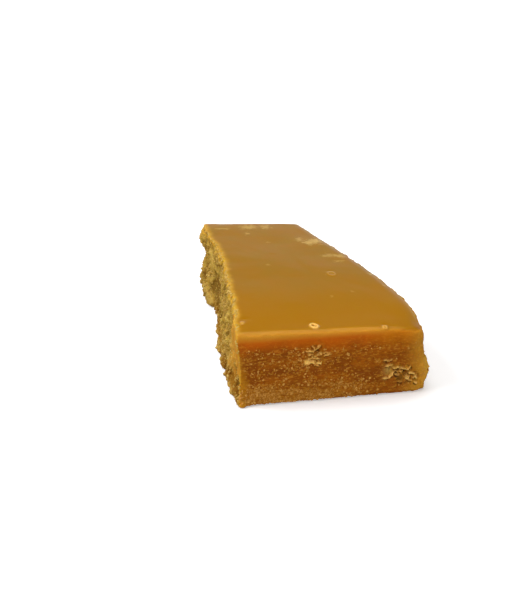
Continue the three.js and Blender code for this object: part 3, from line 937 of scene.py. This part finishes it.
def addSugarPiece(name, points, faces, tones, material):
    mesh = bpy.data.meshes.new(name)
    mesh.from_pydata((points * mmToM).tolist(), [], faces)
    layer = mesh.attributes.new("tone", "FLOAT", "POINT")
    layer.data.foreach_set("value", np.asarray(tones, np.float32))
    mesh.materials.append(material)
    piece = addObject(name, mesh)
    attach(piece, "root")


crystalCorners = np.array([(x, y, z) for z in (-1, 1) for y in (-1, 1) for x in (-1, 1)], float) / 2
crystalFaces = np.array([
    (0, 2, 3, 1), (4, 5, 7, 6), (0, 1, 5, 4), (2, 6, 7, 3), (0, 4, 6, 2), (1, 3, 7, 5),
])


# Blocky sugar crystals, each sunk by more than half into the surface at its spot.
def crystalPiece(name, surface, density, spec, material):
    rng = np.random.default_rng(spec["seed"])
    count, least, most = spec["count"], spec["least"], spec["most"]
    spots, outward = pickSpots(surface, density, count, rng)
    sizes = least + (most - least) * rng.random(count) ** crystalShape["smallerMore"]
    shape = crystalCorners * rng.uniform(crystalShape["slimmest"], crystalShape["widest"], (count, 1, 3))
    shape = shape + rng.uniform(-crystalShape["skew"], crystalShape["skew"], (count, 8, 3))
    turned = np.einsum("nij,nkj->nki", randomTurns(count, rng), shape * sizes[:, None, None])
    corners = turned + (spots - outward * (sizes * crystalShape["sunk"])[:, None])[:, None]
    corners[..., 2] += np.maximum(-corners[..., 2].min(axis=1), 0)[:, None]  # none is below the floor
    faces = crystalFaces + 8 * np.arange(count)[:, None, None]
    tones = np.repeat(rng.random(count) ** spec["falloff"], 8)
    addSugarPiece(name, corners.reshape(-1, 3), faces.reshape(-1, 4).tolist(), tones, material)


def sugarMaterial(name, look):
    material, tree = newTree(name)
    tone = addNode(tree, "ShaderNodeAttribute", attribute_name="tone").outputs["Fac"]
    inputs = {"Factor": tone, 6: linearColour(look["dark"]), 7: linearColour(look["pale"])}
    base = addNode(tree, "ShaderNodeMix", inputs, data_type="RGBA").outputs[2]
    shader = addNode(tree, "ShaderNodeBsdfPrincipled", {
        "Base Color": base, "Roughness": look["roughness"], "IOR": look["ior"],
        "Specular IOR Level": look["specular"],
    })
    addNode(tree, "ShaderNodeOutputMaterial", {"Surface": shader.outputs[0]})
    return material


# Dry crystals on the break and along its edge, thickest where it is loose.
def addBreakSugar(surface, masks):
    points = surface[0]
    broken, edge = masks["broken"], masks["edge"]
    sugar = sugarMaterial("dryCaneSugarCrystal", breakSugarLook)
    loose = smoothStep(-0.15, 0.35, lumps(points, 5.0, 2, 77.0)) * (1 - 0.5 * masks["foot"])
    crumbly = broken * (1 - 0.8 * masks["hollow"]) * (1 - 0.9 * edge) * (1 - masks["wrap"])
    crumbly *= np.interp(points[:, 1], [0, 30], [1.0, 0.6])
    crystalPiece("break_sugar", surface, crumbly * (0.12 + loose), breakGrains, sugar)
    crusted = masks["rim"] * broken * (1 - edge)
    crystalPiece("rim_sugar", surface, crusted * (0.1 + loose), rimGrains, sugar)


# Crystals in clusters on the grainy part of the moulded sides, thickest at the front's left foot.
def addSideSugar(surface, masks):
    points = surface[0]
    height = points[:, 2]
    sugar = sugarMaterial("wetCaneSugarCrystal", sideSugarLook)
    smooth = [masks[name] for name in ("skin", "broken", "poured", "ridgeHighlight")] + [0.4 * masks["corner"]]
    grainy = smoothStep(0.5, 0.9, 1 - np.maximum.reduce(smooth)) * (height > 0.4)
    clustered = np.clip(0.4 + lumps(points, (5.0, 5.0, 2.2), 2, 31.0), 0, 1)
    toLeft = smoothStep(20, -25, points[:, 0])
    atFoot = smoothStep(9, 3, height) * toLeft * masks["front"]
    share = sideGrainSpread
    thickness = share["anywhere"] + share["toLeft"] * toLeft + share["atFoot"] * atFoot
    crystalPiece("side_sugar", surface, grainy * clustered * thickness, sideGrains, sugar)


surface = surfaceOf(block)
addBreakSugar(surface, masks)
addSideSugar(surface, masks)
print("sugar grains")


stageLook = {  # a white board that fades into a white room, in metres
    "size": 5.0, "seen": "#FFFFFF", "bounce": "#8A7A66",
    "glow": 0.24, "glowTo": 0.12, "farGlow": 1.2, "farGlowFrom": 0.6,  # how bright it is near and far
}

# Soft boxes: place and size in metres, and how brightly each lights a white card at the block.
lightRig = [
    {"name": "overhead", "at": (0.1, 0.25, 0.95), "size": 0.9, "strength": 0.62},
    {"name": "leftKey", "at": (-0.6, 0.05, 0.55), "size": 0.5, "strength": 0.75},
    {"name": "frontFill", "at": (-0.1, -1.1, 0.45), "size": 0.9, "strength": 0.42},
]

# The white room: how bright it is seen, and how brightly it lights the block from low and from high up.
skyLook = {"seen": 1.2, "low": 0.9, "high": 0.08, "from": 0.13, "to": 0.36}


def floorMaterial():
    material, tree = newTree("matteWhiteBoard")
    place = addNode(tree, "ShaderNodeTexCoord").outputs["Object"]
    distance = addNode(tree, "ShaderNodeVectorMath", {0: place}, operation="LENGTH").outputs["Value"]
    glow = addNode(tree, "ShaderNodeMapRange", {
        "Value": distance, "From Min": stageLook["glowTo"], "From Max": stageLook["farGlowFrom"],
        "To Min": stageLook["glow"], "To Max": stageLook["farGlow"],
    }).outputs[0]
    seen = addNode(tree, "ShaderNodeBsdfPrincipled", {
        "Base Color": linearColour(stageLook["seen"]), "Roughness": 0.9, "Specular IOR Level": 0.1,
        "Emission Color": (1, 1, 1, 1), "Emission Strength": glow,
    })
    bounced = addNode(tree, "ShaderNodeBsdfDiffuse", {"Color": linearColour(stageLook["bounce"])})
    fromCamera = addNode(tree, "ShaderNodeLightPath").outputs["Is Camera Ray"]
    shaders = {0: fromCamera, 1: bounced.outputs[0], 2: seen.outputs[0]}
    both = addNode(tree, "ShaderNodeMixShader", shaders)
    addNode(tree, "ShaderNodeOutputMaterial", {"Surface": both.outputs[0]})
    return material


def addFloor():
    half = stageLook["size"] / 2
    mesh = bpy.data.meshes.new("floor")
    corners = [(-half, -half, 0), (half, -half, 0), (half, half, 0), (-half, half, 0)]
    mesh.from_pydata(corners, [], [(0, 1, 2, 3)])
    mesh.materials.append(floorMaterial())
    addObject("floor", mesh)


def addLights():
    for spec in lightRig:
        lamp = bpy.data.lights.new(spec["name"], "AREA")
        lamp.shape = "SQUARE"
        lamp.size = spec["size"]
        lamp.energy = spec["strength"] * (math.pi * math.dist(spec["at"], (0, 0, 0))) ** 2
        light = bpy.data.objects.new(spec["name"], lamp)
        light.location = spec["at"]
        light.rotation_euler = light.location.to_track_quat("Z", "Y").to_euler()
        bpy.context.scene.collection.objects.link(light)


def addSky():
    world = bpy.data.worlds.new("studio")
    bpy.context.scene.world = world
    world.use_nodes = True
    tree = world.node_tree
    tree.nodes.clear()
    direction = addNode(tree, "ShaderNodeTexCoord").outputs["Generated"]
    rise = addNode(tree, "ShaderNodeSeparateXYZ", {0: direction}).outputs["Z"]
    room = addNode(tree, "ShaderNodeMapRange", {
        "Value": rise, "From Min": skyLook["from"], "From Max": skyLook["to"],
        "To Min": skyLook["low"], "To Max": skyLook["high"],
    }, interpolation_type="SMOOTHSTEP").outputs[0]
    fromCamera = addNode(tree, "ShaderNodeLightPath").outputs["Is Camera Ray"]
    ends = {"Factor": fromCamera, 2: room, 3: skyLook["seen"]}
    strength = addNode(tree, "ShaderNodeMix", ends).outputs[0]
    back = addNode(tree, "ShaderNodeBackground", {"Color": (1, 1, 1, 1), "Strength": strength})
    addNode(tree, "ShaderNodeOutputWorld", {"Surface": back.outputs[0]})


# Place in metres, angles in degrees, lens in mm.
cameraSetup = {"at": (-0.05415, -0.23602, 0.110), "lookDown": 22.6, "turn": -9.0, "lens": 37.2}


def addCamera():
    lens = bpy.data.cameras.new("camera")
    lens.lens = cameraSetup["lens"]
    lens.clip_start = 0.01
    camera = bpy.data.objects.new("camera", lens)
    camera.location = cameraSetup["at"]
    lookUp = math.radians(90 - cameraSetup["lookDown"])
    camera.rotation_euler = (lookUp, 0, math.radians(cameraSetup["turn"]))
    bpy.context.scene.collection.objects.link(camera)
    bpy.context.scene.camera = camera


addFloor()
addLights()
addSky()
addCamera()
bpy.context.scene.view_settings.view_transform = "Standard"
print("stage, lights and camera")
